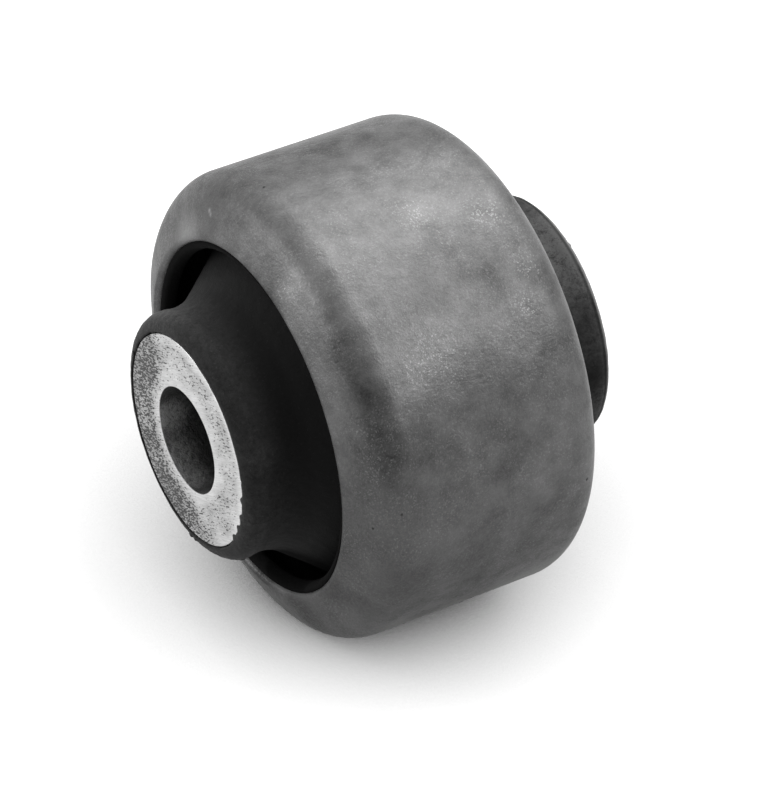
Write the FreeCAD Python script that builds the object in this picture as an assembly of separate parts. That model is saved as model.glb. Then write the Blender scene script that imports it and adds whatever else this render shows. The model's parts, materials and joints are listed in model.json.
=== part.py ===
import FreeCAD, Part
import math
import os

# A rubber and metal suspension bush. Everything is turned about +Z, which runs along the bore.
# The origin is on the bore's axis at mid-length, and both ends are alike.
# Lengths are in millimetres and angles in degrees.

# Inner sleeve: a thick-walled tube that the bolt clamps by its two end faces
inner_length = 53.0
inner_diameter = 28.0
bore_diameter = 14.1

# Outer sleeve: a tube pressed into its housing by the straight part, with both ends folded inwards
sleeve_diameter = 62.0
sleeve_wall = 2.0
straight_length = 22.8
shoulder_radius = 5.0
fold_angle = 68.0
mouth_diameter = 47.0
edge_round = 0.7

# Rubber: the collar round each end of the inner sleeve, the groove between collar and mouth,
# and the thin lining inside the outer sleeve
collar_wall = 2.4
collar_rim = 0.1
waist_depth = 0.2
waist_curve = 7.0
groove_curve = 2.2
groove_run = 0.4
lining = 0.8

# Radii and heights that follow from the sizes above
inner_radius = inner_diameter / 2
end_height = inner_length / 2
sleeve_radius = sleeve_diameter / 2
straight_height = straight_length / 2
shoulder_centre = (sleeve_radius - shoulder_radius, straight_height)
lining_radius = sleeve_radius - sleeve_wall - lining
collar_radius = inner_radius + collar_wall
collar_roll = collar_wall - collar_rim


def direction(angle):
    """Unit vector at an angle from the outward radius, turning towards +Z."""
    return (math.cos(math.radians(angle)), math.sin(math.radians(angle)))


def moved(point, *steps):
    """A point moved by several steps, each a distance along a unit vector."""
    radius, height = point
    for distance, (along_radius, along_z) in steps:
        radius += distance * along_radius
        height += distance * along_z
    return (radius, height)


def on_arc(centre, radius, angle):
    return moved(centre, (radius, direction(angle)))


def vector(point):
    radius, height = point
    return FreeCAD.Vector(radius, 0, height)


def line(start, end):
    return Part.LineSegment(vector(start), vector(end)).toShape()


def arc(centre, radius, start_angle, end_angle):
    angles = (start_angle, (start_angle + end_angle) / 2, end_angle)
    return Part.Arc(*(vector(on_arc(centre, radius, angle)) for angle in angles)).toShape()


def mirrored(edges):
    """The same edges at the other end, below mid-length."""
    mid_plane = (FreeCAD.Vector(0, 0, 0), FreeCAD.Vector(0, 0, 1))
    return [edge.mirror(*mid_plane) for edge in edges]


def turned(upper_edges, mid_radii):
    """Solid of revolution from the upper half of a section and the radii where it meets mid-length."""
    across = [line((radius, -height), (radius, height)) for radius, height in mid_radii]
    edges = upper_edges + mirrored(upper_edges) + across
    section = Part.Face(Part.Wire(Part.sortEdges(edges)[0]))
    return section.revolve(FreeCAD.Vector(0, 0, 0), FreeCAD.Vector(0, 0, 1), 360)


# The folded end, shared by the outer sleeve and the rubber that lines it
flange_out = direction(fold_angle)
flange_along = direction(fold_angle + 90)
flange_start = on_arc(shoulder_centre, shoulder_radius, fold_angle)
flange_length = (flange_start[0] - mouth_diameter / 2) / -flange_along[0]
rounding = min(edge_round, sleeve_wall / 2)
mouth_corner = moved(flange_start, (flange_length, flange_along))
mouth_rounded = moved(mouth_corner, (-rounding, flange_out))
mouth_inner = moved(mouth_corner, (-sleeve_wall, flange_out))
flange_inner_start = moved(flange_start, (-sleeve_wall, flange_out))


def lined_side():
    """Upper half of the sleeve's inside, from the cut edge of its mouth to the straight part."""
    return [
        line(mouth_rounded, mouth_inner),
        line(mouth_inner, flange_inner_start),
        arc(shoulder_centre, shoulder_radius - sleeve_wall, fold_angle, 0),
    ]


def outer_sleeve():
    """Tube with both ends folded in to a cone, its outer edge rounded at the mouth."""
    round_centre = moved(mouth_corner, (-rounding, flange_out), (-rounding, flange_along))
    flange_end = on_arc(round_centre, rounding, fold_angle)
    outside = [
        arc(shoulder_centre, shoulder_radius, 0, fold_angle),
        line(flange_start, flange_end),
        arc(round_centre, rounding, fold_angle, fold_angle + 90),
    ]
    mid_radii = [(sleeve_radius, straight_height), (sleeve_radius - sleeve_wall, straight_height)]
    return turned(outside + lined_side(), mid_radii)


def lining_surface():
    """Free surface of the thin rubber lining, from the mouth to the straight part."""
    lip_centre = moved(mouth_rounded, (-lining, flange_out))
    lip_end = on_arc(lip_centre, lining, fold_angle + 90)
    edge_end = moved(mouth_inner, (lining, flange_along))
    under_start = moved(mouth_inner, (-lining, flange_out))
    under_end = moved(flange_inner_start, (-lining, flange_out))
    return [
        arc(lip_centre, lining, fold_angle, fold_angle + 90),
        line(lip_end, edge_end),
        arc(mouth_inner, lining, fold_angle + 90, fold_angle + 180),
        line(under_start, under_end),
        arc(shoulder_centre, shoulder_radius - sleeve_wall - lining, fold_angle, 0),
    ]


def groove_surface():
    """Groove floor, cone, waist and rolled collar, from the lining to the inner sleeve's end face.

    The cone is the straight line that touches the groove's arc and the waist's arc. The waist's
    arc touches the collar's roll, so the surface has no crease.
    """
    groove_centre = (lining_radius - groove_curve, straight_height - groove_run)
    roll_centre = (collar_radius - collar_roll, end_height - collar_roll)
    waist_centre_radius = collar_radius - waist_depth + waist_curve
    reach = collar_roll + waist_curve
    offset = waist_centre_radius - roll_centre[0]
    waist_centre = (waist_centre_radius, roll_centre[1] - math.sqrt(reach**2 - offset**2))
    to_roll = math.degrees(math.atan2(roll_centre[1] - waist_centre[1], -offset))

    across = groove_centre[0] - waist_centre[0]
    down = waist_centre[1] - groove_centre[1]
    centre_line = math.degrees(math.atan2(across, down))
    taper = math.degrees(math.asin((waist_curve - groove_curve) / math.hypot(across, down)))
    cone_side = centre_line + taper - 180
    cone_start = on_arc(groove_centre, groove_curve, cone_side)
    cone_end = on_arc(waist_centre, waist_curve, cone_side)
    roll_end = (roll_centre[0], end_height)
    return [
        line((lining_radius, straight_height), (lining_radius, groove_centre[1])),
        arc(groove_centre, groove_curve, 0, cone_side),
        line(cone_start, cone_end),
        arc(waist_centre, waist_curve, cone_side, to_roll - 360),
        arc(roll_centre, collar_roll, to_roll - 180, 90),
        line(roll_end, (inner_radius, end_height)),
    ]


def rubber_body():
    """Rubber moulded between the two sleeves, with a groove at each end and a lining to the mouths."""
    upper = lined_side() + lining_surface() + groove_surface()
    mid_radii = [(sleeve_radius - sleeve_wall, straight_height), (inner_radius, end_height)]
    return turned(upper, mid_radii)


def inner_sleeve():
    """Plain thick tube, faced square at both ends."""
    base = FreeCAD.Vector(0, 0, -end_height)
    tube = Part.makeCylinder(inner_radius, inner_length, base)
    bore = Part.makeCylinder(bore_diameter / 2, inner_length, base)
    return tube.cut(bore)


pieces = {
    "outer_sleeve": outer_sleeve(),
    "rubber_body": rubber_body(),
    "inner_sleeve": inner_sleeve(),
}

os.makedirs("parts", exist_ok=True)
for name, shape in pieces.items():
    shape.exportStep("parts/" + name + ".step")
    print(name, "valid", shape.isValid(), "solids", len(shape.Solids), "mm3", round(shape.Volume, 1))
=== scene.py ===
import json
import math

import bpy
import numpy as np
from mathutils import Matrix, Vector


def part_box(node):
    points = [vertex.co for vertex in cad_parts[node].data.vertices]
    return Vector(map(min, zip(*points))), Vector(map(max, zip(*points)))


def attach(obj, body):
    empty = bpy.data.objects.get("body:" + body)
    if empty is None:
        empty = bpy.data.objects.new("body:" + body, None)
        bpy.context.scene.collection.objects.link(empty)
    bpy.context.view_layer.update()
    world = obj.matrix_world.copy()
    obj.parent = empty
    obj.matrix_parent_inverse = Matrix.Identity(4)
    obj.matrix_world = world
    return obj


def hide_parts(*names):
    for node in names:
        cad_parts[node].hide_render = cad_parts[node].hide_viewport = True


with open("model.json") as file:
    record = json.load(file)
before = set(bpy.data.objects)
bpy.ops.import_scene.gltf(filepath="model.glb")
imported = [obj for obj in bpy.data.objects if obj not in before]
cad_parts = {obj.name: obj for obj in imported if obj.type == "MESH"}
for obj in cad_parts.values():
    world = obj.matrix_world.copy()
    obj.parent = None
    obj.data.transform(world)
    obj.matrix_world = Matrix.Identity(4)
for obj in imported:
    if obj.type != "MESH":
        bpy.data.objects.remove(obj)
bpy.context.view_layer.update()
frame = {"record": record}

# Every size is in millimetres and every angle in degrees until a mesh is written.
# The bush is turned about +Z; a section is a list of (radius, height) points.
perMetre = 1000.0
mounts = {mount["name"]: mount["dims"] for mount in frame["record"]["mounts"]}
sleeveRadius = mounts["housing_fit"]["r_mm"]
straightHalf = mounts["housing_fit"]["length_mm"] / 2
boreRadius = mounts["bolt_bore"]["r_mm"]
coreHalf = mounts["bolt_bore"]["length_mm"] / 2
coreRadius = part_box("inner_sleeve")[1].x * perMetre
print("frame loaded, sleeve radius", sleeveRadius, "core radius", round(coreRadius, 3))


# unit vector at an angle from the outward radius towards +Z
def toward(angle):
    return np.array([math.cos(math.radians(angle)), math.sin(math.radians(angle))])


# straight run: start + share * (end - start), without its last point
def linePoints(start, end, spacing):
    start, end = np.asarray(start, float), np.asarray(end, float)
    count = max(1, round(float(np.linalg.norm(end - start)) / spacing))
    share = np.linspace(0, 1, count, endpoint=False)[:, None]
    return start + share * (end - start)


# round run: centre + radius * (cos a, sin a) while a goes from first to last, without its last point
def arcPoints(centre, radius, first, last, spacing):
    count = max(3, round(abs(math.radians(last - first)) * radius / spacing))
    angles = np.radians(np.linspace(first, last, count, endpoint=False))[:, None]
    return np.asarray(centre, float) + radius * np.hstack([np.cos(angles), np.sin(angles)])


# closed section: the upper half and the same points mirrored below mid-length, run back down
def bothEnds(upper, last):
    upper = np.vstack([upper, [last]])
    lower = (upper * [1, -1])[::-1]
    return np.vstack([upper, lower[1:-1]])


# outward unit normals of a closed section that runs counter-clockwise, from its neighbours' chord
def sectionNormals(section):
    chord = np.roll(section, -1, axis=0) - np.roll(section, 1, axis=0)
    normal = np.stack([chord[:, 1], -chord[:, 0]], axis=1)
    return normal / np.linalg.norm(normal, axis=1, keepdims=True)


# ring of a section: point(u, v) = (r(u) cos v, r(u) sin v, z(u)), with its outward normals
def ringGrid(section, turns):
    angle = np.linspace(0, 2 * math.pi, turns, endpoint=False)[None, :]
    normals = sectionNormals(section)
    flat = np.ones_like(angle)
    point = np.stack([section[:, :1] * np.cos(angle), section[:, :1] * np.sin(angle),
                      section[:, 1:] * flat], axis=2)
    outward = np.stack([normals[:, :1] * np.cos(angle), normals[:, :1] * np.sin(angle),
                        normals[:, 1:] * flat], axis=2)
    return point, outward


# smooth random field of about unit size: a sum of plane waves cos(k . p + phase), where |k| is
# 2 pi over a length near the given one, and stretch lengthens the waves along x, y or z
def waves(points, length, seed, stretch=(1, 1, 1), count=24):
    random = np.random.default_rng(seed)
    direction = random.normal(size=(count, 3))
    direction /= np.linalg.norm(direction, axis=1, keepdims=True)
    lengths = length * random.uniform(0.7, 1.5, count)
    vector = direction * (2 * math.pi / lengths)[:, None] / np.array(stretch)
    phase = random.uniform(0, 2 * math.pi, count)
    return np.cos(points @ vector.T + phase).sum(axis=-1) * math.sqrt(2 / count)


# place of a mark: (radius cos angle, radius sin angle, height); without a radius it is on the sleeve's side
def placeOf(mark):
    return np.append(toward(mark["angle"]) * mark.get("radius", sleeveRadius), mark["height"])


# smooth hill: exp(-(d / size)^2) of the distance d from a mark's place
def hill(points, mark):
    distance = np.linalg.norm(points - placeOf(mark), axis=-1)
    return np.exp(-(distance / mark["size"]) ** 2)


# smooth step from 0 at low to 1 at high
def ramp(value, low, high):
    share = np.clip((value - low) / (high - low), 0, 1)
    return share * share * (3 - 2 * share)


# mesh of a grid that is closed both ways round, its faces turned outwards
def makePiece(name, node, point, materials, materialIndex=None):
    rows, turns = point.shape[:2]
    index = np.arange(rows * turns).reshape(rows, turns)
    nextTurn = np.roll(index, -1, axis=1)
    nextRow = np.roll(index, -1, axis=0)
    across = np.roll(nextTurn, -1, axis=0)
    faces = np.stack([index, nextTurn, across, nextRow], axis=2).reshape(-1, 4)
    mesh = bpy.data.meshes.new(name)
    mesh.from_pydata((point.reshape(-1, 3) / perMetre).tolist(), [], faces.tolist())
    mesh.polygons.foreach_set("use_smooth", np.ones(len(faces), bool))
    for material in materials:
        mesh.materials.append(material)
    if materialIndex is not None:
        mesh.polygons.foreach_set("material_index", np.repeat(materialIndex, turns).astype(np.int32))
    mesh.update()
    piece = bpy.data.objects.new(name, mesh)
    bpy.context.scene.collection.objects.link(piece)
    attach(piece, "root")
    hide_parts(node)
    print("made", name, "with", len(faces), "faces")


# sRGB hex value to linear colour
def hexColour(code):
    channels = [int(code[place:place + 2], 16) / 255 for place in (1, 3, 5)]
    return tuple(c / 12.92 if c <= 0.04045 else ((c + 0.055) / 1.055) ** 2.4 for c in channels) + (1.0,)


# adds one node and sets its properties; inputs go by name, or in order over the live sockets, and each
# is a value, a hex colour, another node for its first live output, or one output of it
def addNode(tree, kind, inputs=(), **settings):
    node = tree.nodes.new("ShaderNode" + kind)
    for name, value in settings.items():
        setattr(node, name, value)
    if not isinstance(inputs, dict):
        inputs = dict(zip([socket for socket in node.inputs if socket.enabled], inputs))
    for name, value in inputs.items():
        socket = node.inputs[name] if isinstance(name, str) else name
        if isinstance(value, bpy.types.Node):
            value = [output for output in value.outputs if output.enabled][0]
        if isinstance(value, bpy.types.NodeSocket):
            tree.links.new(value, socket)
        else:
            socket.default_value = hexColour(value) if isinstance(value, str) else value
    return node


# empty material
def newMaterial(name):
    material = bpy.data.materials.new(name)
    material.use_nodes = True
    material.node_tree.nodes.clear()
    return material, material.node_tree


# Outer sleeve: zinc-phosphated steel tube, both ends folded in to a cone
outerSleeve = {
    "wall": 2.0,
    "shoulderRadius": 5.0,
    "foldAngle": 68.0,
    "mouthRadius": 23.5,
    "edgeRound": 0.7,
    "seenSpacing": 0.32,
    "hiddenSpacing": 1.6,
    "turns": 440,
    "ripple": 0.022,  # long flats along the axis, left by drawing the tube
    "rippleLength": 11.0,
    "rippleStretch": 9.0,
    "sag": 0.018,  # broad unevenness
    "sagLength": 30.0,
    "outsideFacing": (-0.2, 0.3),
    "foldSmoothing": 0.7,  # share of both that folding ironed out, round the straight part's end
    "foldZone": (-1.0, 3.0),
    "mouthRise": 0.24,  # the front fold was pressed a little less far in than the rear one
    "riseHeights": (12.0, 16.0),
    "riseLip": (21.6, 21.9),  # radii between which the rise sets in at the lip, and fades on the fold
    "riseFade": (24.0, 29.5),
}

# places where the fold stands a little fuller
foldSwells = {
    "left": {"angle": -12, "radius": 28.8, "height": 15.6, "size": 9, "rise": 0.22},
    "low": {"angle": 112, "radius": 28.8, "height": 15.4, "size": 8, "rise": 0.06},
}

shoulderCentre = np.array([sleeveRadius - outerSleeve["shoulderRadius"], straightHalf])
foldOut = toward(outerSleeve["foldAngle"])
foldAlong = toward(outerSleeve["foldAngle"] + 90)
foldStart = shoulderCentre + outerSleeve["shoulderRadius"] * foldOut
foldLength = (foldStart[0] - outerSleeve["mouthRadius"]) / -foldAlong[0]
mouthCorner = foldStart + foldLength * foldAlong
mouthInner = mouthCorner - outerSleeve["wall"] * foldOut
foldInnerStart = foldStart - outerSleeve["wall"] * foldOut
innerShoulder = outerSleeve["shoulderRadius"] - outerSleeve["wall"]


# upper half of the sleeve's section: straight outside, shoulder, cone, rounded edge, cut edge, inside
def sleeveSection():
    seen, hidden = outerSleeve["seenSpacing"], outerSleeve["hiddenSpacing"]
    rounding, fold = outerSleeve["edgeRound"], outerSleeve["foldAngle"]
    roundCentre = mouthCorner - rounding * (foldOut + foldAlong)
    insideRadius = sleeveRadius - outerSleeve["wall"]
    upper = np.vstack([
        linePoints((sleeveRadius, 0), (sleeveRadius, straightHalf), seen),
        arcPoints(shoulderCentre, outerSleeve["shoulderRadius"], 0, fold, seen),
        linePoints(foldStart, roundCentre + rounding * foldOut, seen),
        arcPoints(roundCentre, rounding, fold, fold + 90, seen / 2),
        linePoints(roundCentre + rounding * foldAlong, mouthInner, hidden / 4),
        linePoints(mouthInner, foldInnerStart, hidden),
        arcPoints(shoulderCentre, innerShoulder, fold, 0, hidden),
        linePoints((insideRadius, straightHalf), (insideRadius, 0), hidden),
    ])
    return bothEnds(upper, (insideRadius, 0))


# rise of the front fold: nothing at the shoulder, all of mouthRise at the mouth and its lip
def foldRise(point):
    radial = np.linalg.norm(point[..., :2], axis=2)
    share = ramp(point[..., 2], *outerSleeve["riseHeights"]) * ramp(radial, *outerSleeve["riseLip"])
    return outerSleeve["mouthRise"] * share * (1 - ramp(radial, *outerSleeve["riseFade"]))


# the outside dented by (1 - tanh(wave)) * size, from 0 to twice the size, so that nothing stands proud
def makeSleeve(material):
    section = sleeveSection()
    point, outward = ringGrid(section, outerSleeve["turns"])
    radial = np.linalg.norm(point[..., :2], axis=2)
    # only the outside is uneven: the inside stays bonded to the rubber
    facing = (outward[..., 0] * point[..., 0] + outward[..., 1] * point[..., 1]) / radial
    outside = ramp(facing, *outerSleeve["outsideFacing"])
    pastStraight = np.abs(point[..., 2]) - straightHalf
    formed = 1 - outerSleeve["foldSmoothing"] * ramp(pastStraight, *outerSleeve["foldZone"])
    along = (1, 1, outerSleeve["rippleStretch"])
    flats = 1 - np.tanh(waves(point, outerSleeve["rippleLength"], 3, stretch=along))
    broad = 1 - np.tanh(waves(point, outerSleeve["sagLength"], 5))
    depth = (outerSleeve["ripple"] * flats + outerSleeve["sag"] * broad) * outside * formed
    for swell in foldSwells.values():
        depth = depth - swell["rise"] * hill(point, swell) * outside
    point = point - outward * depth[..., None]
    point[..., 2] += foldRise(point)
    # nothing stands out past the housing fit
    radial = np.linalg.norm(point[..., :2], axis=2, keepdims=True)
    point[..., :2] *= np.minimum(1, sleeveRadius / radial)
    makePiece("outer_sleeve_shell", "outer_sleeve", point, [material])


# Rubber: one moulding with a collar round each end of the core, a groove and a thin lining
rubber = {
    "lining": 0.8,
    "collarWall": 2.4,
    "collarRim": 0.1,
    "waistDepth": 0.2,
    "waistCurve": 7.0,
    "grooveCurve": 2.2,
    "grooveRun": 0.4,
    "rollEnd": 88.0,  # angle where the collar's roll ends at its rim, almost level
    "gap": 0.16,  # dark line where the rubber has come away from the core's edge
    "gapDepth": 0.5,
    "seenSpacing": 0.42,
    "hiddenSpacing": 1.6,
    "turns": 370,
    "unevenness": 0.018,
    "unevenLengths": (7.0, 1.6),
    "freeHeights": (8.0, 12.0),  # the moulded surface shows above these heights, off the core
    "freeOffCore": (0.4, 1.0),  # by these distances, and inside these radii
    "freeRadii": (21.0, 22.0),
    "rearSwell": 0.10,  # the rear collar came out of the mould a little fuller
    "rearRim": 0.14,  # and with a squarer rim, fullest at this angle
    "rearRimAngle": 30.0,
    "rearRimSpread": 24.0,
    "rearHeights": (17.0, 20.0),
    "rearOffCore": (0.6, 1.6),
    "partingHeight": -25.2,  # shallow line round the rear collar, where the mould closed
    "partingWidth": 0.28,
    "partingDepth": 0.08,
}


# upper half of the rubber's section, from the bonded outside over the lip to the core
def rubberSection():
    seen, hidden = rubber["seenSpacing"], rubber["hiddenSpacing"]
    fold, lining = outerSleeve["foldAngle"], rubber["lining"]
    insideRadius = sleeveRadius - outerSleeve["wall"]
    mouthRounded = mouthCorner - outerSleeve["edgeRound"] * foldOut
    lipCentre = mouthRounded - lining * foldOut
    edgeEnd = mouthInner + lining * foldAlong
    underStart, underEnd = mouthInner - lining * foldOut, foldInnerStart - lining * foldOut

    liningRadius = insideRadius - lining
    grooveCentre = np.array([liningRadius - rubber["grooveCurve"], straightHalf - rubber["grooveRun"]])
    collarRadius = coreRadius + rubber["collarWall"]
    roll = rubber["collarWall"] - rubber["collarRim"]
    rollCentre = np.array([collarRadius - roll, coreHalf - roll])
    waistRadius = collarRadius - rubber["waistDepth"] + rubber["waistCurve"]
    reach, offset = roll + rubber["waistCurve"], waistRadius - rollCentre[0]
    waistCentre = np.array([waistRadius, rollCentre[1] - math.sqrt(reach ** 2 - offset ** 2)])
    toRoll = math.degrees(math.atan2(rollCentre[1] - waistCentre[1], -offset))
    # the cone is the line that touches the groove's arc and the waist's arc
    across, down = grooveCentre[0] - waistCentre[0], waistCentre[1] - grooveCentre[1]
    widening = rubber["waistCurve"] - rubber["grooveCurve"]
    taper = math.degrees(math.asin(widening / math.hypot(across, down)))
    coneSide = math.degrees(math.atan2(across, down)) + taper - 180
    coneStart = grooveCentre + rubber["grooveCurve"] * toward(coneSide)
    coneEnd = waistCentre + rubber["waistCurve"] * toward(coneSide)
    gapOuter = coreRadius + rubber["gap"]
    gapFloor = coreHalf - rubber["gapDepth"]
    upper = np.vstack([
        linePoints((insideRadius, 0), (insideRadius, straightHalf), hidden),
        arcPoints(shoulderCentre, innerShoulder, 0, fold, hidden),
        linePoints(foldInnerStart, mouthInner, hidden),
        linePoints(mouthInner, mouthRounded, hidden / 3),
        arcPoints(lipCentre, lining, fold, fold + 90, seen / 2),
        linePoints(lipCentre + lining * foldAlong, edgeEnd, seen),
        arcPoints(mouthInner, lining, fold + 90, fold + 180, seen),
        linePoints(underStart, underEnd, seen * 2),
        arcPoints(shoulderCentre, innerShoulder - lining, fold, 0, seen * 2),
        linePoints((liningRadius, straightHalf), (liningRadius, grooveCentre[1]), seen * 2),
        arcPoints(grooveCentre, rubber["grooveCurve"], 0, coneSide, seen * 1.5),
        linePoints(coneStart, coneEnd, seen),
        arcPoints(waistCentre, rubber["waistCurve"], coneSide, toRoll - 360, seen),
        arcPoints(rollCentre, roll, toRoll - 180, rubber["rollEnd"], seen * 0.6),
        linePoints((gapOuter, coreHalf), (gapOuter, gapFloor), rubber["gapDepth"] / 2),
        linePoints((coreRadius, gapFloor), (coreRadius, 0), hidden),
    ])
    return bothEnds(upper, (coreRadius, 0))


# Marks in the rubber at the front collar, each at an angle, radius and height: size is its spread
# and rise its height above the moulded surface
rubberMarks = {
    "creaseUpper": {"angle": -151, "radius": 16.3, "height": 25, "size": 0.9, "rise": 0.17},
    "creaseMiddle": {"angle": -157, "radius": 16.3, "height": 24.7, "size": 0.8, "rise": 0.2},
    "creaseLower": {"angle": -164, "radius": 16.3, "height": 24.8, "size": 0.9, "rise": 0.16},
    "creaseFold": {"angle": -157, "radius": 16.2, "height": 25.6, "size": 0.6, "rise": -0.18},
    "nubLeft": {"angle": 90.2, "radius": 15, "height": 26.2, "size": 0.28, "rise": 0.32},
    "nubRight": {"angle": 94.2, "radius": 15, "height": 26.2, "size": 0.24, "rise": 0.26},
    "nubUnder": {"angle": 128, "radius": 16.4, "height": 24.4, "size": 0.45, "rise": 0.18},
    "nubRear": {"angle": -112.5, "radius": 15.3, "height": -26.1, "size": 0.26, "rise": 0.2},
}

# Ragged rim where flash was torn off: it reaches in over the core's face between two angles.
# A tear opens the gap beside the core instead.
flashRim = {
    "first": 138.0,
    "last": 184.0,
    "fade": 6.0,
    "reach": 0.45,
    "tooth": 1.3,
    "fill": 0.55,  # how far the teeth reach on average, how uneven they are, and the longest
    "ragged": 0.45,
    "longest": 1.3,
    "allRound": 0.05,
    "wander": 2.2,
    "width": 0.7,  # how far outwards the rubber follows the rim
    "margin": 0.02,
}
rimTears = {
    "topTear": {"angle": -95, "halfWidth": 1.9, "depth": 0.4},
    "leftTear": {"angle": -21.4, "halfWidth": 1.2, "depth": 0.45},
    "rightTear": {"angle": -169.6, "halfWidth": 0.8, "depth": 0.25},
}


# how far the rim moves out (+) or in (-) at each angle round the front face
def rimShift(angle, point):
    window = ramp(angle, flashRim["first"], flashRim["first"] + flashRim["fade"])
    window = window * (1 - ramp(angle, flashRim["last"] - flashRim["fade"], flashRim["last"]))
    teeth = flashRim["fill"] + flashRim["ragged"] * waves(point, flashRim["tooth"], 21)
    shift = -flashRim["reach"] * window * np.clip(teeth, 0, flashRim["longest"])
    shift = shift + flashRim["allRound"] * waves(point, flashRim["wander"], 22)
    for tear in rimTears.values():
        away = np.abs((angle - tear["angle"] + 180) % 360 - 180) / tear["halfWidth"]
        shift = shift + tear["depth"] * np.exp(-away ** 4)
    return shift


# the section turned round, moved along its normals by the unevenness, the rear collar's swell, rim and
# parting line, and the marks, and then moved along the radius at the front rim
def makeRubber(material):
    section = rubberSection()
    point, outward = ringGrid(section, rubber["turns"])
    radial = np.linalg.norm(point[..., :2], axis=2)
    height = np.abs(point[..., 2])
    offCore = radial - coreRadius
    free = ramp(height, *rubber["freeHeights"]) * ramp(offCore, *rubber["freeOffCore"])
    free = free * (1 - ramp(radial, *rubber["freeRadii"]))
    longWaves, shortWaves = rubber["unevenLengths"]
    depth = 2 - np.tanh(waves(point, longWaves, 11)) - np.tanh(waves(point, shortWaves, 12))
    offset = -rubber["unevenness"] * depth * free
    roll = rubber["collarWall"] - rubber["collarRim"]
    onRoll = np.degrees(np.arctan2(roll - coreHalf - point[..., 2], offCore - rubber["collarRim"]))
    rear = ramp(-point[..., 2], *rubber["rearHeights"]) * ramp(offCore, *rubber["rearOffCore"])
    fromRim = (onRoll - rubber["rearRimAngle"]) / rubber["rearRimSpread"]
    squareRim = rubber["rearRim"] * np.exp(-fromRim ** 2)
    fromLine = (point[..., 2] - rubber["partingHeight"]) / rubber["partingWidth"]
    partingLine = rubber["partingDepth"] * np.exp(-fromLine ** 2)
    offset = offset + (rubber["rearSwell"] + squareRim - partingLine) * rear
    for mark in rubberMarks.values():
        offset = offset + mark["rise"] * hill(point, mark)
    point = point + outward * offset[..., None]
    point[..., 2] += foldRise(point)

    # the rim is the top edge and the wall of the gap beside the core
    angle = np.degrees(np.arctan2(point[..., 1], point[..., 0]))
    angle = np.where(angle < flashRim["last"] - 360, angle + 360, angle)
    front = point[..., 2] > coreHalf - 1.2 * rubber["gapDepth"]
    onRim = front * (1 - ramp(offCore, rubber["gap"] + flashRim["margin"], flashRim["width"]))
    onRim = onRim * ramp(offCore, flashRim["margin"], rubber["gap"])
    scale = 1 + rimShift(angle, point) * onRim / radial
    point = point * np.stack([scale, scale, np.ones_like(scale)], axis=2)
    point[..., 2] = np.clip(point[..., 2], -coreHalf, coreHalf)
    makePiece("rubber_moulding", "rubber_body", point, [material])


# Inner sleeve: thick steel tube, its end faces sawn and pitted, its bore left rough
core = {
    "faceDrop": 0.06,  # the worn face lies this far inside the frame's end plane
    "edgeRound": 0.12,
    "boreChamfer": 0.10,
    "faceSpacing": 0.3,
    "boreSpacing": 1.0,
    "hiddenSpacing": 5.0,
    "turns": 360,
    "boreEdge": 0.6,  # the bore's finish starts this far across the chamfer
}


# upper half of the core's section: outside, worn face, bore
def coreSection():
    top = coreHalf - core["faceDrop"]
    rounding, chamfer = core["edgeRound"], core["boreChamfer"]
    outside = linePoints((coreRadius, 0), (coreRadius, top - rounding), core["hiddenSpacing"])
    edge = arcPoints((coreRadius - rounding, top - rounding), rounding, 0, 90, rounding / 3)
    face = linePoints((coreRadius - rounding, top), (boreRadius + chamfer, top), core["faceSpacing"])
    mouth = arcPoints((boreRadius + chamfer, top - chamfer), chamfer, 90, 180, chamfer / 3)
    bore = linePoints((boreRadius, top - chamfer), (boreRadius, 0), core["boreSpacing"])
    return bothEnds(np.vstack([outside, edge, face, mouth, bore]), (boreRadius, 0))


# the section turned round; a face whose middle lies inside the bore's edge gets the bore's finish
def makeCore(faceMaterial, boreMaterial):
    section = coreSection()
    point = ringGrid(section, core["turns"])[0]
    middle = (section + np.roll(section, -1, axis=0)) / 2
    inBore = (middle[:, 0] < boreRadius + core["boreChamfer"] * core["boreEdge"]).astype(int)
    materials = [faceMaterial, boreMaterial]
    makePiece("inner_sleeve_tube", "inner_sleeve", point, materials, inBore)


# inputs of a map range that goes from 0 to its full value between two lengths in millimetres
def between(first, last, full=1.0):
    return {"From Min": first / perMetre, "From Max": last / perMetre, "To Max": full}


# fractal noise with features of a real size in millimetres, spread to 0..1 between two of its levels
def cloud(tree, place, size, low=0.3, high=0.7, detail=2.0, roughness=0.5):
    noise = addNode(tree, "TexNoise", {
        "Vector": place, "Scale": perMetre / size, "Detail": detail, "Roughness": roughness})
    return addNode(tree, "MapRange", {"Value": noise, "From Min": low, "From Max": high})


# distance from the bore's axis: the length of (x, y, 0)
def radiusAt(tree, place):
    flat = addNode(tree, "VectorMath", [place, (1, 1, 0)], operation="MULTIPLY")
    return addNode(tree, "VectorMath", [flat], operation="LENGTH")


# sum of soft round marks, each its strength at its place and 0 from its size outwards
def marksAt(tree, place, marks):
    total = 0.0
    for mark in marks.values():
        centre = (placeOf(mark) / perMetre).tolist()
        away = addNode(tree, "VectorMath", [place, centre], operation="DISTANCE")
        fade = {"Value": away, **between(mark["size"], 0.0, mark["strength"])}
        near = addNode(tree, "MapRange", fade, interpolation_type="SMOOTHSTEP")
        total = addNode(tree, "Math", [total, near], operation="ADD")
    return total


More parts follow.
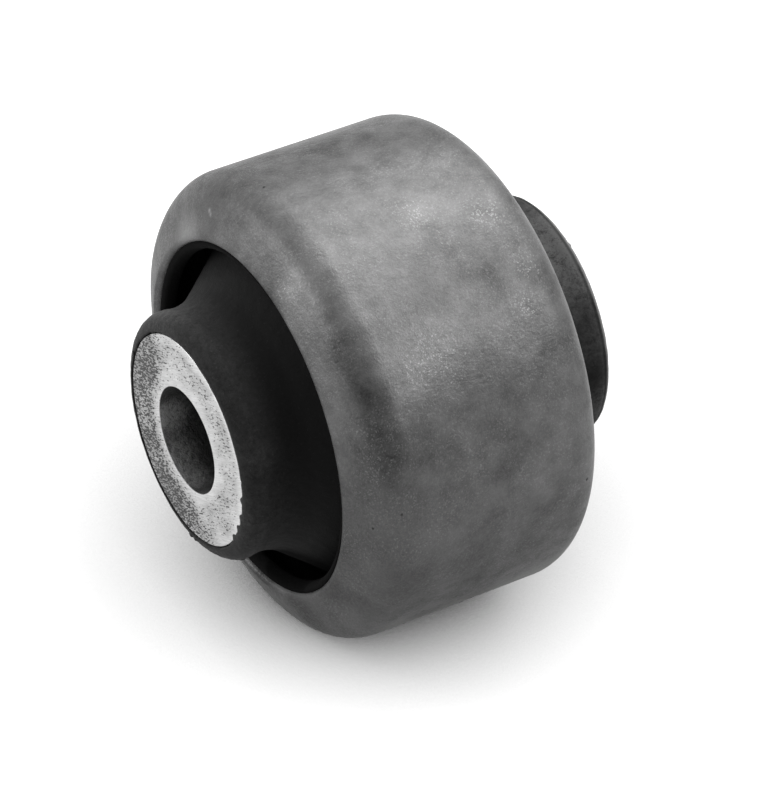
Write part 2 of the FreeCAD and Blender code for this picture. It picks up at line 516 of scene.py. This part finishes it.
# Zinc-phosphated steel: drawn tube with a crystalline coat. To the eye it is a dull dark grey with faint
# clouds, painted glints for the sparkle of crystals where light strikes it, crowded in a few spots, a few
# chipped spots, and painted light and shade for the lamps' highlights and the shoulder's dark band.
# Crystals are about 0.01 mm, too fine to show, so they are drawn a little wider than a pixel.
phosphate = {
    "dark": "#303030",
    "light": "#a4a4a4",
    # colour of the painted glints
    "glint": "#d0d0d0",
    "chip": "#262626",
    "patch": 8.0,  # widths of the clouds, the mottle, the soft grain and the drawn crystals
    "mottle": 2.6,
    "grain": 0.55,
    "crystal": 0.17,
    "baseTone": 0.17,  # share of light in the coat, and what each pattern adds
    "patchTone": 0.14,
    "mottleTone": 0.17,
    "grainTone": 0.19,
    "crystalShare": 0.55,  # how much of the grain is crystals
    "brightFrom": 0.68,  # the brightest crystals get a painted glint, crowded in the painted glint spots, few elsewhere
    "crowd": 6.0,
    "crowdShare": 0.22,
    "rearEdge": (-14.2, -15.4),  # heights where a painted highlight lightens the rear shoulder's edge
    "rearEdgeTone": 0.16,
    "relief": 0.04,
    "chipDepth": 3.0,
    "metallic": 0.24,
    "edgeTint": "#6a6a6a",  # keeps the coat grey at a glancing angle
}
# painted glints: spots on the lit crest, shoulder and fold where the crystals' sparkle is crowded
paintedGlintSpots = {
    "shoulderRear": {"angle": -112.8, "height": -9.5, "size": 4.5, "strength": 0.55},
    "crestTop": {"angle": -106.5, "height": -1.1, "size": 4.5, "strength": 0.5},
    "foldFront": {"angle": -110, "radius": 26.6, "height": 16.6, "size": 3.5, "strength": 0.5},
    "crestRear": {"angle": -127.9, "height": -11.4, "size": 3.5, "strength": 0.5},
    "crestFar": {"angle": -136.4, "height": -9, "size": 3.5, "strength": 0.55},
    "crestLow": {"angle": -141, "height": 4.5, "size": 6.5, "strength": 0.6},
    "crestEdge": {"angle": -142, "height": 7.9, "size": 3, "strength": 0.55},
}
chippedSpots = {
    "flank": {"angle": 144.6, "height": 7.2, "size": 0.34, "strength": 1.2},
    "rearEdge": {"angle": 176.5, "radius": 30.6, "height": -13.3, "size": 0.34, "strength": 1.0},
    "shoulderLow": {"angle": -174, "radius": 30.6, "height": 13.4, "size": 0.3, "strength": 0.8},
    "foldLow": {"angle": -179, "radius": 28, "height": 16, "size": 0.3, "strength": 0.8},
    "shoulderTop": {"angle": -69, "height": 11.6, "size": 0.3, "strength": 1.1},
    "shoulderLeft": {"angle": -81.8, "radius": 30.9, "height": 12.2, "size": 0.3, "strength": 1.1},
}
smoothPlaces = {
    "foldLow": {"angle": 176, "radius": 27, "height": 16.4, "size": 18, "strength": 0.9},
    "foldUnder": {"angle": 130, "radius": 27, "height": 16.4, "size": 16, "strength": 0.6},
}
# Painted light and shade on the coat: each mark lightens or darkens its tone where the lamps' highlights
# and the shoulder's dark reflection band fall; scratchOuter and scratchInner are scratches, mouthWorn a pale
# patch
paintedCoatShading = {
    "mouthNear": {"angle": 97, "radius": 23.4, "height": 17.7, "size": 5, "strength": -0.3},
    "foldHalfway": {"angle": -118.5, "radius": 25.4, "height": 17, "size": 6, "strength": 0.09},
    "crestFront": {"angle": -112, "height": 8.7, "size": 12, "strength": 0.11},
    "crestMiddle": {"angle": -140, "height": 5.7, "size": 8, "strength": 0.16},
    "crestRear": {"angle": -144, "height": -7.8, "size": 5, "strength": 0.14},
    "foldFront": {"angle": -112, "radius": 27.7, "height": 16.1, "size": 5, "strength": 0.17},
    "shoulderFlank": {"angle": -180, "height": 11.6, "size": 8, "strength": 0.1},
    "shoulderMiddle": {"angle": -144, "radius": 30, "height": 14.4, "size": 5, "strength": -0.26},
    "shoulderLow": {"angle": -156, "radius": 30.2, "height": 14, "size": 8, "strength": -0.15},
    "shoulderFront": {"angle": -135, "radius": 28.9, "height": 15.5, "size": 5, "strength": -0.17},
    "foldMiddle": {"angle": -162, "radius": 27.7, "height": 16.1, "size": 8, "strength": -0.08},
    "foldLow": {"angle": 176, "radius": 26.3, "height": 16.7, "size": 17, "strength": -0.07},
    "mouthLow": {"angle": 144, "radius": 23.5, "height": 17.8, "size": 12, "strength": -0.1},
    "mouthTop": {"angle": -108, "radius": 23.5, "height": 17.8, "size": 5, "strength": -0.15},
    "flankLow": {"angle": 162, "height": 1.2, "size": 17, "strength": -0.05},
    "flankMiddle": {"angle": -162, "height": -0.3, "size": 12, "strength": -0.1},
    "flankFront": {"angle": -162, "height": 7.2, "size": 5, "strength": -0.11},
    "topFront": {"angle": -72, "height": 7.2, "size": 17, "strength": -0.14},
    "topMiddle": {"angle": -72, "height": -5, "size": 9, "strength": -0.13},
    "crestMouth": {"angle": -128.5, "height": -5.8, "size": 3.5, "strength": -0.1},
    "foldUnder": {"angle": 118, "radius": 25.5, "height": 17.2, "size": 6, "strength": -0.2},
    "foldBright": {"angle": -160, "radius": 24.6, "height": 17.4, "size": 3.5, "strength": 0.12},
    "crestLow": {"angle": -148, "height": 11.6, "size": 17, "strength": 0.08},
    "rearFlank": {"angle": -180, "radius": 30.4, "height": -13.7, "size": 12, "strength": 0.13},
    "crestWide": {"angle": -108, "height": 1.2, "size": 17, "strength": 0.06},
    "shoulderUnder": {"angle": 140, "radius": 30.7, "height": 13.1, "size": 8, "strength": 0.16},
    "mouthWorn": {"angle": -53, "radius": 24.2, "height": 17.5, "size": 5, "strength": 0.45},
    "foldGlow": {"angle": -110, "radius": 26.6, "height": 16.6, "size": 3, "strength": 0.14},
    "scratchOuter": {"angle": -66.5, "radius": 27.1, "height": 16.4, "size": 0.5, "strength": 0.5},
    "scratchInner": {"angle": -67.5, "radius": 26.7, "height": 16.5, "size": 0.5, "strength": 0.5},
    "foldFlank": {"angle": 171, "radius": 28.9, "height": 15.5, "size": 8, "strength": 0.09},
    "rearLow": {"angle": 148, "height": -10.8, "size": 12, "strength": 0.22},
    "crestFar": {"angle": -135, "height": -9.3, "size": 5, "strength": 0.06},
    "rearShade": {"angle": -133, "radius": 29.8, "height": -14.7, "size": 5, "strength": -0.15},
    "foldStreak": {"angle": -148, "radius": 26.3, "height": 16.7, "size": 5, "strength": 0.13},
    "crestPale": {"angle": -106.5, "height": -1.1, "size": 3.2, "strength": 0.14},
    "bendDeep": {"angle": -148, "radius": 30, "height": 14.4, "size": 5, "strength": -0.13},
    "bendUpper": {"angle": -131.5, "radius": 29.9, "height": 14.5, "size": 3.5, "strength": -0.09},
    "bendTop": {"angle": -122, "radius": 29.9, "height": 14.5, "size": 3.5, "strength": -0.06},
    "bendLow": {"angle": -157, "radius": 29.9, "height": 14.4, "size": 4.5, "strength": -0.08},
    "edgeFront": {"angle": -112, "radius": 23.5, "height": 17.8, "size": 4, "strength": -0.09},
    "edgeTop": {"angle": -94, "radius": 23.5, "height": 17.8, "size": 4, "strength": -0.08},
    "edgeMiddle": {"angle": -140, "radius": 23.5, "height": 17.8, "size": 4, "strength": -0.08},
    "crestDull": {"angle": -144, "height": -0.3, "size": 5, "strength": -0.09},
    "crestShine": {"angle": -135, "height": -0.3, "size": 5, "strength": 0.1},
    "rearMiddle": {"angle": -148, "radius": 30.9, "height": -12.3, "size": 5, "strength": -0.13},
}


def phosphatedSteel():
    material, tree = newMaterial("phosphatedSteel")
    place = addNode(tree, "TexCoord").outputs["Object"]
    patches = cloud(tree, place, phosphate["patch"], detail=1.0)
    mottle = cloud(tree, place, phosphate["mottle"])
    soft = cloud(tree, place, phosphate["grain"], 0.25, 0.75, roughness=0.8)
    crystals = addNode(tree, "TexVoronoi", {
        "Vector": place, "Scale": perMetre / phosphate["crystal"]}).outputs["Color"]
    grain = addNode(tree, "Mix", [phosphate["crystalShare"], soft, crystals])
    rough = addNode(tree, "Math", [1.0, marksAt(tree, place, smoothPlaces)], operation="SUBTRACT")
    mottle = addNode(tree, "Math", [mottle, rough], operation="MULTIPLY")
    tone = addNode(tree, "Math", [patches, phosphate["patchTone"], phosphate["baseTone"]],
                   operation="MULTIPLY_ADD")
    tone = addNode(tree, "Math", [mottle, phosphate["mottleTone"], tone], operation="MULTIPLY_ADD")
    tone = addNode(tree, "Math", [grain, phosphate["grainTone"], tone], operation="MULTIPLY_ADD")
    # painted light and shade: the lamps' highlights and the shoulder's dark band
    tone = addNode(tree, "Math", [tone, marksAt(tree, place, paintedCoatShading)], operation="ADD")
    along = addNode(tree, "SeparateXYZ", [place]).outputs["Z"]
    # painted highlight along the rear shoulder's edge
    rearEdge = addNode(tree, "MapRange", {
        "Value": along, **between(*phosphate["rearEdge"], phosphate["rearEdgeTone"])})
    tone = addNode(tree, "Math", [tone, rearEdge], operation="ADD")
    colour = addNode(tree, "Mix", [tone, phosphate["dark"], phosphate["light"]], data_type="RGBA")
    # painted glints of the brightest crystals
    crowd = cloud(tree, place, phosphate["crowd"], 0.35)
    crowd = addNode(tree, "Math", [crowd, phosphate["crowdShare"]], operation="MULTIPLY")
    crowd = addNode(tree, "Math", [crowd, marksAt(tree, place, paintedGlintSpots)], operation="MAXIMUM")
    sparkle = addNode(tree, "MapRange", {"Value": crystals, "From Min": phosphate["brightFrom"]})
    glints = addNode(tree, "Math", [sparkle, crowd], operation="MULTIPLY")
    colour = addNode(tree, "Mix", [glints, colour, phosphate["glint"]], data_type="RGBA")
    chips = addNode(tree, "Math", [marksAt(tree, place, chippedSpots), 0.0], operation="ADD", use_clamp=True)
    colour = addNode(tree, "Mix", [chips, colour, phosphate["chip"]], data_type="RGBA")
    relief = addNode(tree, "Math", [mottle, soft], operation="ADD")
    relief = addNode(tree, "Math", [chips, -phosphate["chipDepth"], relief], operation="MULTIPLY_ADD")
    bump = addNode(tree, "Bump", {
        "Height": relief, "Strength": 1.0, "Distance": phosphate["relief"] / perMetre})
    roughness = addNode(tree, "MapRange", {"Value": grain, "To Min": 0.42, "To Max": 0.32})
    shader = addNode(tree, "BsdfPrincipled", {
        "Base Color": colour, "Metallic": phosphate["metallic"], "Roughness": roughness,
        "Specular IOR Level": 0.05, "Specular Tint": phosphate["edgeTint"], "Normal": bump})
    addNode(tree, "OutputMaterial", {"Surface": shader})
    return material


# Moulded natural rubber with carbon black. To the eye it is matt and almost black, with painted shade
# blackest on the lip inside the mouth and in the groove, and grey with mottled dust round the collars.
rubberFinish = {
    # colour of the painted shade in the groove, on the lip, in the mould's line and in the shaded places
    "clean": "#0b0b0b",
    "black": "#1c1c1c",
    "dusty": "#5c5c5c",
    "dust": "#6c6c6c",
    "rubbed": "#8a8a8a",
    "haze": 2.6,  # widths of the dust's mottle, its grain and its specks
    "grain": 0.8,
    "speck": 0.34,
    "hazeShare": 0.45,
    "grainShare": 1.1,
    "waistHeights": (18.5, 22.5),  # dust lies from the waist to the rim of each collar
    "collarHeights": (19.0, 25.0),
    "collarDust": 0.20,
    "faintDust": 0.044,  # what lies everywhere, and how its grain varies it
    "faintGrain": 0.025,
    "speckLevels": (0.64, 0.76),
    "rimHeights": (-25.4, -25.7),  # painted reflection: the rear rim past the mould's line is lightened to an even grey, as the white surroundings glance off it
    "rimRub": 0.85,
    "lipRadii": (20.0, 23.2),  # painted shade darkens the groove and the lip inside the mouth
    "wallRadii": (25.0, 27.5),
    "grooveClean": 0.9,
    "lineReach": (0.4, 0.1),  # and the mould's line on the rear collar
    "lineClean": 0.5,
    "relief": 0.03,
}
dustyPlaces = {
    "rearCollar": {"angle": -114, "radius": 16.4, "height": -24, "size": 13, "strength": 1.15},
    "rearLow": {"angle": 168, "radius": 16.2, "height": -25, "size": 5, "strength": 1.0},
    "rearMiddle": {"angle": -160, "radius": 16.4, "height": -24.5, "size": 5, "strength": 0.3},
    "frontCollar": {"angle": -62, "radius": 16.4, "height": 24.4, "size": 10, "strength": 0.3},
    "frontLow": {"angle": 165, "radius": 16.4, "height": 24.4, "size": 9, "strength": 0.18},
    "creases": {"angle": -158, "radius": 16.4, "height": 24.4, "size": 4, "strength": 0.2},
}
# painted shade low on the cone beside the groove, and on the rear collar's waist near the sleeve
paintedShadePlaces = {
    "lowCone": {"angle": 112, "radius": 19.6, "height": 15.6, "size": 10, "strength": 2.6},
    "rearWaist": {"angle": 176, "radius": 16.4, "height": -22, "size": 6, "strength": 0.4},
}


def mouldedRubber():
    material, tree = newMaterial("mouldedRubber")
    place = addNode(tree, "TexCoord").outputs["Object"]
    haze = cloud(tree, place, rubberFinish["haze"], roughness=0.6)
    grain = cloud(tree, place, rubberFinish["grain"], detail=3.0, roughness=0.9)
    radius = radiusAt(tree, place)
    along = addNode(tree, "SeparateXYZ", [place]).outputs["Z"]
    height = addNode(tree, "Math", [along], operation="ABSOLUTE")
    onCollar = addNode(tree, "MapRange", {
        "Value": height, **between(*rubberFinish["collarHeights"], rubberFinish["collarDust"])})
    onWaist = addNode(tree, "MapRange", {"Value": height, **between(*rubberFinish["waistHeights"])})
    dustiness = addNode(tree, "Math", [marksAt(tree, place, dustyPlaces), onWaist, onCollar],
                        operation="MULTIPLY_ADD")
    mottle = addNode(tree, "Math", [haze, rubberFinish["hazeShare"]], operation="MULTIPLY")
    mottle = addNode(tree, "Math", [grain, rubberFinish["grainShare"], mottle], operation="MULTIPLY_ADD")
    tone = addNode(tree, "Math", [dustiness, mottle], operation="MULTIPLY")
    faint = addNode(tree, "Math", [grain, rubberFinish["faintGrain"], rubberFinish["faintDust"]],
                    operation="MULTIPLY_ADD")
    tone = addNode(tree, "Math", [tone, faint], operation="ADD", use_clamp=True)
    colour = addNode(tree, "Mix", [tone, rubberFinish["black"], rubberFinish["dusty"]], data_type="RGBA")
    specks = cloud(tree, place, rubberFinish["speck"], *rubberFinish["speckLevels"])
    shown = addNode(tree, "Math", [dustiness, 0.6, 0.08], operation="MULTIPLY_ADD")
    specks = addNode(tree, "Math", [specks, shown], operation="MULTIPLY")
    colour = addNode(tree, "Mix", [specks, colour, rubberFinish["dust"]], data_type="RGBA")
    # painted reflection along the rear rim
    onRim = addNode(tree, "MapRange", {
        "Value": along, **between(*rubberFinish["rimHeights"], rubberFinish["rimRub"])})
    colour = addNode(tree, "Mix", [onRim, colour, rubberFinish["rubbed"]], data_type="RGBA")
    lip = addNode(tree, "MapRange", {
        "Value": radius, **between(*rubberFinish["lipRadii"], rubberFinish["grooveClean"])})
    wall = addNode(tree, "MapRange", {
        "Value": radius, **between(*rubberFinish["wallRadii"], rubberFinish["grooveClean"])})
    inGroove = addNode(tree, "Math", [lip, wall], operation="SUBTRACT")
    fromLine = addNode(tree, "Math", [along, -rubber["partingHeight"] / perMetre], operation="ADD")
    fromLine = addNode(tree, "Math", [fromLine], operation="ABSOLUTE")
    inLine = addNode(tree, "MapRange", {
        "Value": fromLine, **between(*rubberFinish["lineReach"], rubberFinish["lineClean"])})
    # painted shade in the groove, on the lip and in the mould's line
    clean = addNode(tree, "Math", [inGroove, inLine], operation="MAXIMUM")
    clean = addNode(tree, "Math", [clean, marksAt(tree, place, paintedShadePlaces)], operation="MAXIMUM")
    colour = addNode(tree, "Mix", [clean, colour, rubberFinish["clean"]], data_type="RGBA")
    relief = addNode(tree, "Math", [specks, 1.5, grain], operation="MULTIPLY_ADD")
    bump = addNode(tree, "Bump", {
        "Height": relief, "Strength": 1.0, "Distance": rubberFinish["relief"] / perMetre})
    roughness = addNode(tree, "MapRange", {"Value": clean, "To Min": 0.58, "To Max": 1.0})
    shader = addNode(tree, "BsdfPrincipled", {
        "Base Color": colour, "Roughness": roughness, "Specular IOR Level": 0.05, "Normal": bump})
    addNode(tree, "OutputMaterial", {"Surface": shader})
    return material


# Sawn steel. To the eye it is bright and satin with fine scratches all one way, and eaten by short pits
# along them, which are crowded on one side and few on the other.
faceFinish = {
    "bright": "#e6e6e6",
    "dull": "#868686",
    "pit": "#161616",
    "pitWidth": 0.25,
    "pitStretch": 2.6,
    "pitDepth": 0.05,
    "pitLevels": (0.28, 0.56),  # noise below this is a pit: where they are few, and crowded
    "sawAngle": 28.0,
    "scratchWidth": 0.16,
    "scratchStretch": 14.0,
    "scratchDepth": 0.12,  # as a share of the pits' depth
    "drift": 3.4,
    "wornMiddle": 26.0,  # angle at the middle of the crowded side, and how far it reaches
    "wornReach": 104.0,
    "wornRadii": (6.4, 9.6),  # where the pits begin, and where they are crowded
    "ringRadii": (13.9, 12.6),  # inside the smooth edge of the face
    "driftTone": 0.2,  # how much each darkens the face
    "scratchTone": 0.3,
    "wornTone": 0.7,
    "metallic": 0.6,
    "roughness": 0.42,
}


def sawnSteel():
    material, tree = newMaterial("sawnSteel")
    place = addNode(tree, "TexCoord").outputs["Object"]
    middle = (0, 0, math.radians(faceFinish["wornMiddle"]))
    turned = addNode(tree, "Mapping", {"Vector": place, "Rotation": middle}, vector_type="TEXTURE")
    axes = addNode(tree, "SeparateXYZ", [turned])
    angle = addNode(tree, "Math", [axes.outputs["Y"], axes.outputs["X"]], operation="ARCTAN2")
    angle = addNode(tree, "Math", [angle], operation="ABSOLUTE")
    radius = radiusAt(tree, place)
    drift = cloud(tree, place, faceFinish["drift"])
    # how crowded the pits are: by angle and radius on the worn side, with drifts, and fewer all round
    reach = math.radians(faceFinish["wornReach"])
    outward = addNode(tree, "MapRange", {"Value": radius, **between(*faceFinish["wornRadii"])})
    side = addNode(tree, "MapRange", {
        "Value": angle, "From Min": reach * 1.2, "From Max": reach * 0.6, "To Max": outward})
    drifts = addNode(tree, "Math", [drift, 0.3, 0.78], operation="MULTIPLY_ADD")
    crowded = addNode(tree, "Math", [side, drifts], operation="MULTIPLY")
    ring = addNode(tree, "MapRange", {"Value": radius, **between(*faceFinish["ringRadii"], outward)})
    fewer = addNode(tree, "Math", [drift, 0.35, 0.32], operation="MULTIPLY_ADD")
    few = addNode(tree, "Math", [ring, fewer], operation="MULTIPLY")
    wearAndLight = addNode(tree, "Math", [crowded, few], operation="MAXIMUM")

    slant = (0, 0, math.radians(faceFinish["sawAngle"]))
    slanted = addNode(tree, "Mapping", {
        "Vector": place, "Rotation": slant, "Scale": (faceFinish["pitStretch"], 1.0, 1.0)},
        vector_type="TEXTURE")
    dashes = addNode(tree, "TexNoise", {
        "Vector": slanted, "Scale": perMetre / faceFinish["pitWidth"], "Detail": 2.0, "Roughness": 0.65})
    lowest, highest = faceFinish["pitLevels"]
    level = addNode(tree, "MapRange", {"Value": wearAndLight, "To Min": lowest, "To Max": highest})
    depth = addNode(tree, "Math", [level, dashes], operation="SUBTRACT")
    pits = addNode(tree, "MapRange", {"Value": depth, "From Min": 0.0, "From Max": 0.05})
    drawnOut = addNode(tree, "Mapping", {
        "Vector": place, "Rotation": slant, "Scale": (faceFinish["scratchStretch"], 1.0, 1.0)},
        vector_type="TEXTURE")
    scratches = cloud(tree, drawnOut, faceFinish["scratchWidth"])
    tone = addNode(tree, "Math", [drift, faceFinish["driftTone"]], operation="MULTIPLY")
    tone = addNode(tree, "Math", [scratches, faceFinish["scratchTone"], tone], operation="MULTIPLY_ADD")
    tone = addNode(tree, "Math", [wearAndLight, faceFinish["wornTone"], tone], operation="MULTIPLY_ADD")
    colour = addNode(tree, "Mix", [tone, faceFinish["bright"], faceFinish["dull"]], data_type="RGBA")
    colour = addNode(tree, "Mix", [pits, colour, faceFinish["pit"]], data_type="RGBA")
    relief = addNode(tree, "Math", [scratches, faceFinish["scratchDepth"]], operation="MULTIPLY")
    relief = addNode(tree, "Math", [relief, pits], operation="SUBTRACT")
    bump = addNode(tree, "Bump", {
        "Height": relief, "Strength": 1.0, "Distance": faceFinish["pitDepth"] / perMetre})
    shader = addNode(tree, "BsdfPrincipled", {
        "Base Color": colour, "Metallic": faceFinish["metallic"],
        "Roughness": faceFinish["roughness"], "Normal": bump})
    addNode(tree, "OutputMaterial", {"Surface": shader})
    return material


# Drawn steel bore. To the eye it is a dark scale, mottled fine, with painted light brightening one side near
# the front end, where light falls in.
boreFinish = {
    "dark": "#2e2e2e",
    "light": "#b0b0b0",
    "scuff": 0.6,
    "stain": 3.0,
    "baseTone": 0.2,
    "stainTone": 0.3,
    "wear": 0.16,  # how much of the pattern shows away from the painted light
    "relief": 0.04,
    "metallic": 0.5,
    "roughness": 0.5,
}
paintedLightPlaces = {
    "upper": {"angle": 8, "radius": 7, "height": 25, "size": 3.6, "strength": 1.1},
    "middle": {"angle": 50, "radius": 7, "height": 25.2, "size": 3.6, "strength": 1.0},
    "lower": {"angle": 80, "radius": 7, "height": 25.2, "size": 3.6, "strength": 0.9},
}


def drawnBore():
    material, tree = newMaterial("drawnBore")
    place = addNode(tree, "TexCoord").outputs["Object"]
    scuffs = cloud(tree, place, boreFinish["scuff"], detail=3.0, roughness=0.8)
    stains = cloud(tree, place, boreFinish["stain"])
    # painted light on one side of the bore near its front end
    wearAndLight = addNode(tree, "Math", [marksAt(tree, place, paintedLightPlaces), boreFinish["wear"]], operation="ADD")
    tone = addNode(tree, "Math", [stains, boreFinish["stainTone"], boreFinish["baseTone"]],
                   operation="MULTIPLY_ADD")
    tone = addNode(tree, "Math", [scuffs, tone], operation="ADD")
    tone = addNode(tree, "Math", [tone, wearAndLight], operation="MULTIPLY")
    colour = addNode(tree, "Mix", [tone, boreFinish["dark"], boreFinish["light"]], data_type="RGBA")
    bump = addNode(tree, "Bump", {
        "Height": scuffs, "Strength": 1.0, "Distance": boreFinish["relief"] / perMetre})
    shader = addNode(tree, "BsdfPrincipled", {
        "Base Color": colour, "Metallic": boreFinish["metallic"],
        "Roughness": boreFinish["roughness"], "Normal": bump})
    addNode(tree, "OutputMaterial", {"Surface": shader})
    return material


makeSleeve(phosphatedSteel())
makeRubber(mouldedRubber())
makeCore(sawnSteel(), drawnBore())


# Stage: the bush lies on its sleeve, so the floor is the plane y = sleeve radius and up is -Y
stage = {
    "floorHalf": 3000.0,
    "paper": "#a4a4a4",  # what the bush sees of the floor
    "shadeReach": 75.0,
    "shadowGlow": -0.548,  # the white before the open sky adds its shares
    "roomGlow": 0.05,  # what the room gives to dull surfaces
}
# how much of the white comes from which side: less of it reaches the floor where the bush hides that side
openSky = {
    "above": {"toward": (0.0, -1.0, 0.0), "share": 0.749},
    "front": {"toward": (-0.7, -0.7, 0.0), "share": 0.976},
    "left": {"toward": (0.0, -0.7, 0.7), "share": 0.297},
}


# 1 where the camera, a mirror or a clear body looks at the stage, 0 where a dull surface is lit by it
def seenDirectly(tree):
    path = addNode(tree, "LightPath").outputs
    rays = [path["Is Glossy Ray"], path["Is Transmission Ray"]]
    mirrored = addNode(tree, "Math", rays, operation="MAXIMUM")
    return addNode(tree, "Math", [path["Is Camera Ray"], mirrored], operation="MAXIMUM")


# a square of side 2 * half at the height of the sleeve's lowest line
def makeFloor():
    material, tree = newMaterial("paperFloor")
    paper = addNode(tree, "BsdfDiffuse", {"Color": stage["paper"]})
    # seen directly the paper is white, darker where the bush shades it: the shares add up to more than
    # 1, so that the outer edge of the shadow is lost in the white
    glow = stage["shadowGlow"]
    for sky in openSky.values():
        side = addNode(tree, "CombineXYZ", sky["toward"])
        seen = addNode(tree, "AmbientOcclusion", {
            "Distance": stage["shadeReach"] / perMetre, "Normal": side}, samples=3)
        glow = addNode(tree, "Math", [seen.outputs["AO"], sky["share"], glow], operation="MULTIPLY_ADD")
    white = addNode(tree, "Emission", {"Color": "#ffffff", "Strength": glow})
    front = addNode(tree, "MixShader", [seenDirectly(tree), paper, white])
    behind = addNode(tree, "NewGeometry").outputs["Backfacing"]
    oneSided = addNode(tree, "MixShader", [behind, front, addNode(tree, "BsdfTransparent")])
    addNode(tree, "OutputMaterial", {"Surface": oneSided})
    half, level = stage["floorHalf"], sleeveRadius
    corners = [(-half, level, -half), (half, level, -half), (half, level, half), (-half, level, half)]
    mesh = bpy.data.meshes.new("floor")
    mesh.from_pydata((np.array(corners) / perMetre).tolist(), [], [(0, 1, 2, 3)])
    mesh.materials.append(material)
    floor = bpy.data.objects.new("floor", mesh)
    bpy.context.scene.collection.objects.link(floor)


# faint light from the room on dull surfaces, and white where the surroundings are seen directly
def makeWorld():
    world = bpy.data.worlds.new("studio")
    world.use_nodes = True
    tree = world.node_tree
    tree.nodes.clear()
    room = addNode(tree, "Background", {"Color": "#ffffff", "Strength": stage["roomGlow"]})
    white = addNode(tree, "Background", {"Color": "#ffffff", "Strength": 1.0})
    around = addNode(tree, "MixShader", [seenDirectly(tree), room, white])
    addNode(tree, "OutputWorld", {"Surface": around})
    bpy.context.scene.world = world


# Lamps: where each softbox stands as seen from the bush, how wide it is as a half angle, and watts
softboxes = {
    "topLamp": {"toward": (0.32, -0.82, -0.48), "halfAngle": 25.0, "watts": 12.5},
    "crestLamp": {"toward": (-0.16, -0.95, -0.26), "halfAngle": 17.0, "watts": 1.85},
    "backLamp": {"toward": (0.72, -0.69, 0.11), "halfAngle": 33.0, "watts": 2.7},
    "rightLamp": {"toward": (-0.71, -0.57, -0.42), "halfAngle": 9.5, "watts": 1.7},
    "rightBackLamp": {"toward": (-0.46, -0.67, -0.58), "halfAngle": 17.0, "watts": 3.3},
    "leftLamp": {"toward": (0.39, -0.27, 0.88), "halfAngle": 9.5, "watts": 2.15},
    "leftLowLamp": {"toward": (0.20, -0.10, 0.97), "halfAngle": 9.5, "watts": 1.42},
    "leftBackLamp": {"toward": (0.69, -0.17, 0.71), "halfAngle": 9.5, "watts": 2.4},
}
lampDistance = 1200.0


# soft lamp: a disc that faces the bush, its width 2 * distance * tan(half angle)
def makeLamp(name, box):
    data = bpy.data.lights.new(name, "AREA")
    data.shape = "DISK"
    data.size = 2 * lampDistance * math.tan(math.radians(box["halfAngle"])) / perMetre
    data.energy = box["watts"]
    lamp = bpy.data.objects.new(name, data)
    bpy.context.scene.collection.objects.link(lamp)
    aim = Vector(box["toward"]).normalized()
    lamp.location = aim * lampDistance / perMetre
    lamp.rotation_euler = (-aim).to_track_quat("-Z", "Y").to_euler()


# Camera: fitted to the outlines in the photograph; its up is the part's -Y side, as the bush lies
view = {
    "place": (-449.408, -381.437, 263.316),
    "right": (-0.511742, 0.005025, -0.859124),
    "down": (-0.508876, 0.803925, 0.307817),
    "focalPixels": 5086.6,
    "imageHeight": 800.0,
    "sensor": 36.0,
    "clip": (0.01, 20.0),
}


def makeCamera():
    data = bpy.data.cameras.new("camera")
    data.sensor_width = view["sensor"]
    data.lens = view["focalPixels"] * view["sensor"] / view["imageHeight"]
    data.clip_start, data.clip_end = view["clip"]
    camera = bpy.data.objects.new("camera", data)
    bpy.context.scene.collection.objects.link(camera)
    right, down = Vector(view["right"]).normalized(), Vector(view["down"]).normalized()
    back = right.cross(-down)
    turn = Matrix((right, -down, back)).transposed().to_4x4()
    camera.matrix_world = Matrix.Translation(Vector(view["place"]) / perMetre) @ turn
    bpy.context.scene.camera = camera
    bpy.context.scene.view_settings.view_transform = "Standard"


makeFloor()
makeWorld()
for lampName, box in softboxes.items():
    makeLamp(lampName, box)
makeCamera()

print("scene ready")
